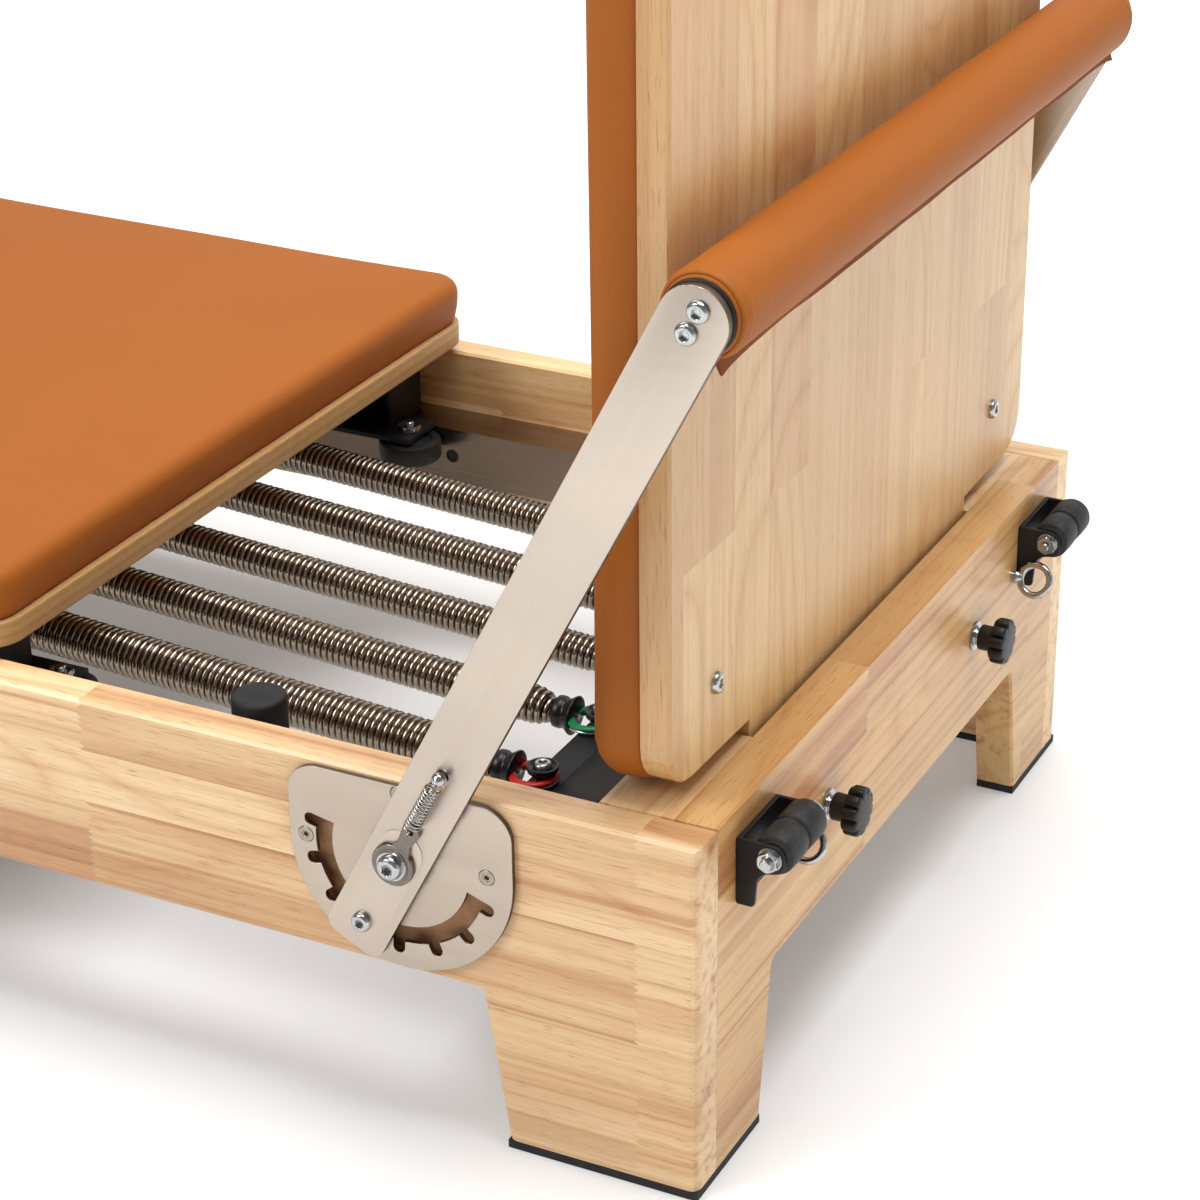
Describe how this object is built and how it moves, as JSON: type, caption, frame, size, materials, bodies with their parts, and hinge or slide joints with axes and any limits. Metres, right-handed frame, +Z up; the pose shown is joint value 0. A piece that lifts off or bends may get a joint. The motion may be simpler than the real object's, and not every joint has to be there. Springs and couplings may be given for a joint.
{
  "type": "folding pilates reformer",
  "caption": "Folding wooden pilates reformer: spring-loaded sliding carriage on tracks, padded jump board at the foot end, and a latched foot bar on quadrant plates.",
  "frame": {"origin": "on the floor under the middle of the whole machine", "axes": "+Z up, +X along the machine towards the foot end with the jump board, near side at -Y"},
  "size_m": [2.378, 0.7218, 0.872],
  "materials": {
    "rubberwood": "edge-glued and finger-jointed rubberwood, satin clear lacquer",
    "plywood": "stained plywood with a satin edge",
    "leather": "orange-brown coated leather, fine grain",
    "foot_rubber": "matt black rubber sheet",
    "wheel_rubber": "black rubber, slightly worn",
    "black_plastic": "moulded black plastic",
    "black_steel": "black powder coat on folded steel",
    "plate_steel": "cut and brushed steel plate",
    "spring_steel": "oil-dark spring wire with bright highlights"
  },
  "bodies": {
    "foot_frame": {"foot_end_board": "rubberwood", "foot_rail_near": "rubberwood", "foot_rail_far": "rubberwood", "foot_middle_board": "rubberwood", "foot_plank": "rubberwood", "foot_pad_near": "foot_rubber", "foot_pad_far": "foot_rubber", "roller_bracket_near": "black_steel", "roller_bracket_far": "black_steel", "quadrant_plate_near": "plate_steel", "quadrant_plate_far": "plate_steel", "spring_bar": "black_steel", "spring_1": "spring_steel", "spring_2": "spring_steel", "spring_3": "spring_steel", "spring_4": "spring_steel", "spring_5": "spring_steel", "foot_track_near": "plate_steel", "foot_track_far": "plate_steel", "fold_hinge_foot": "plate_steel"},
    "head_frame": {"head_end_board": "rubberwood", "head_rail_near": "rubberwood", "head_rail_far": "rubberwood", "head_middle_board": "rubberwood", "head_pad_near": "foot_rubber", "head_pad_far": "foot_rubber", "head_track_near": "plate_steel", "head_track_far": "plate_steel", "pulley_frame": "black_steel", "fold_hinge_head": "plate_steel"},
    "carriage": {"carriage_board": "plywood", "carriage_pad": "leather", "carriage_chassis": "black_steel", "shoulder_rest_near": "leather", "shoulder_rest_far": "leather"},
    "headrest": {"headrest": "leather"},
    "wheel_foot_near": {"carriage_wheel_foot_near": "wheel_rubber"},
    "wheel_foot_far": {"carriage_wheel_foot_far": "wheel_rubber"},
    "wheel_head_near": {"carriage_wheel_head_near": "wheel_rubber"},
    "wheel_head_far": {"carriage_wheel_head_far": "wheel_rubber"},
    "guide_foot_near": {"guide_wheel_foot_near": "wheel_rubber"},
    "guide_foot_far": {"guide_wheel_foot_far": "wheel_rubber"},
    "guide_head_near": {"guide_wheel_head_near": "wheel_rubber"},
    "guide_head_far": {"guide_wheel_head_far": "wheel_rubber"},
    "jump_board": {"jump_board": "rubberwood", "jump_board_pad": "leather"},
    "knob_near": {"clamp_knob_near": "black_plastic"},
    "knob_far": {"clamp_knob_far": "black_plastic"},
    "roller_near": {"transport_roller_near": "wheel_rubber"},
    "roller_far": {"transport_roller_far": "wheel_rubber"},
    "pivot_links": {"pivot_link_near": "plate_steel", "pivot_link_far": "plate_steel", "return_spring_near": "spring_steel", "return_spring_far": "spring_steel"},
    "foot_bar": {"foot_bar_arm_near": "plate_steel", "foot_bar_arm_far": "plate_steel", "foot_bar_tube": "black_steel", "foot_bar_roll": "leather"},
    "pulley_near": {"pulley_near": "black_plastic"},
    "pulley_far": {"pulley_far": "black_plastic"}
  },
  "joints": [
    {"name": "fold", "type": "hinge", "parent": "foot_frame", "child": "head_frame", "pos_m": [-0.019, 0, 0.1127], "axis": [0, -1, 0], "range_deg": [0, 165]},
    {"name": "carriage_slide", "type": "slide", "parent": "foot_frame", "child": "carriage", "axis": [1, 0, 0], "range_m": [-0.9, 0.195], "stiffness_N_per_m": 2500, "deforming": ["spring_1", "spring_2", "spring_3", "spring_4", "spring_5"]},
    {"name": "wheel_foot_near_roll", "type": "hinge", "parent": "carriage", "child": "wheel_foot_near", "pos_m": [0.554, -0.2826, 0.2373], "axis": [0, 1, 0], "range_deg": [-1790, 400]},
    {"name": "wheel_foot_far_roll", "type": "hinge", "parent": "carriage", "child": "wheel_foot_far", "pos_m": [0.554, 0.2826, 0.2373], "axis": [0, 1, 0], "range_deg": [-1790, 400]},
    {"name": "wheel_head_near_roll", "type": "hinge", "parent": "carriage", "child": "wheel_head_near", "pos_m": [-0.062, -0.2826, 0.2373], "axis": [0, 1, 0], "range_deg": [-1790, 400]},
    {"name": "wheel_head_far_roll", "type": "hinge", "parent": "carriage", "child": "wheel_head_far", "pos_m": [-0.062, 0.2826, 0.2373], "axis": [0, 1, 0], "range_deg": [-1790, 400]},
    {"name": "guide_foot_near_roll", "type": "hinge", "parent": "carriage", "child": "guide_foot_near", "pos_m": [0.611, -0.2437, 0.198], "axis": [0, 0, 1], "range_deg": [-450, 1990]},
    {"name": "guide_foot_far_roll", "type": "hinge", "parent": "carriage", "child": "guide_foot_far", "pos_m": [0.611, 0.2437, 0.198], "axis": [0, 0, 1], "range_deg": [-1990, 450]},
    {"name": "guide_head_near_roll", "type": "hinge", "parent": "carriage", "child": "guide_head_near", "pos_m": [-0.119, -0.2437, 0.198], "axis": [0, 0, 1], "range_deg": [-450, 1990]},
    {"name": "guide_head_far_roll", "type": "hinge", "parent": "carriage", "child": "guide_head_far", "pos_m": [-0.119, 0.2437, 0.198], "axis": [0, 0, 1], "range_deg": [-1990, 450]},
    {"name": "headrest_tilt", "type": "hinge", "parent": "carriage", "child": "headrest", "pos_m": [0.071, 0, 0.2883], "axis": [0, 1, 0], "range_deg": [0, 30]},
    {"name": "jump_board_lift", "type": "slide", "parent": "foot_frame", "child": "jump_board", "axis": [0, 0, 1], "range_m": [0, 0.1]},
    {"name": "knob_near_turn", "type": "hinge", "parent": "foot_frame", "child": "knob_near", "pos_m": [1.1513, -0.138, 0.1885], "axis": [1, 0, 0], "continuous": true},
    {"name": "knob_far_turn", "type": "hinge", "parent": "foot_frame", "child": "knob_far", "pos_m": [1.1513, 0.138, 0.1885], "axis": [1, 0, 0], "continuous": true},
    {"name": "roller_near_spin", "type": "hinge", "parent": "foot_frame", "child": "roller_near", "pos_m": [1.175, -0.255, 0.232], "axis": [0, 1, 0], "continuous": true},
    {"name": "roller_far_spin", "type": "hinge", "parent": "foot_frame", "child": "roller_far", "pos_m": [1.175, 0.255, 0.232], "axis": [0, 1, 0], "continuous": true},
    {"name": "foot_bar_swing", "type": "hinge", "parent": "foot_frame", "child": "pivot_links", "pos_m": [0.943, 0, 0.204], "axis": [0, 1, 0], "range_deg": [0, 73.5]},
    {"name": "foot_bar_drop", "type": "slide", "parent": "pivot_links", "child": "foot_bar", "axis": [-0.4617, 0, -0.887], "range_m": [0, 0.01], "deforming": ["return_spring_near", "return_spring_far"]},
    {"name": "pulley_near_spin", "type": "hinge", "parent": "head_frame", "child": "pulley_near", "pos_m": [-1.1427, -0.1564, 0.405], "axis": [0, 1, 0], "continuous": true},
    {"name": "pulley_far_spin", "type": "hinge", "parent": "head_frame", "child": "pulley_far", "pos_m": [-1.1427, 0.1564, 0.405], "axis": [0, 1, 0], "continuous": true}
  ],
  "couplings": [
    {"joint": "wheel_foot_near_roll", "follows": "carriage_slide", "rad_per_m": 34.483},
    {"joint": "wheel_foot_far_roll", "follows": "carriage_slide", "rad_per_m": 34.483},
    {"joint": "wheel_head_near_roll", "follows": "carriage_slide", "rad_per_m": 34.483},
    {"joint": "wheel_head_far_roll", "follows": "carriage_slide", "rad_per_m": 34.483},
    {"joint": "guide_foot_near_roll", "follows": "carriage_slide", "rad_per_m": -38.462},
    {"joint": "guide_foot_far_roll", "follows": "carriage_slide", "rad_per_m": 38.462},
    {"joint": "guide_head_near_roll", "follows": "carriage_slide", "rad_per_m": -38.462},
    {"joint": "guide_head_far_roll", "follows": "carriage_slide", "rad_per_m": 38.462}
  ]
}
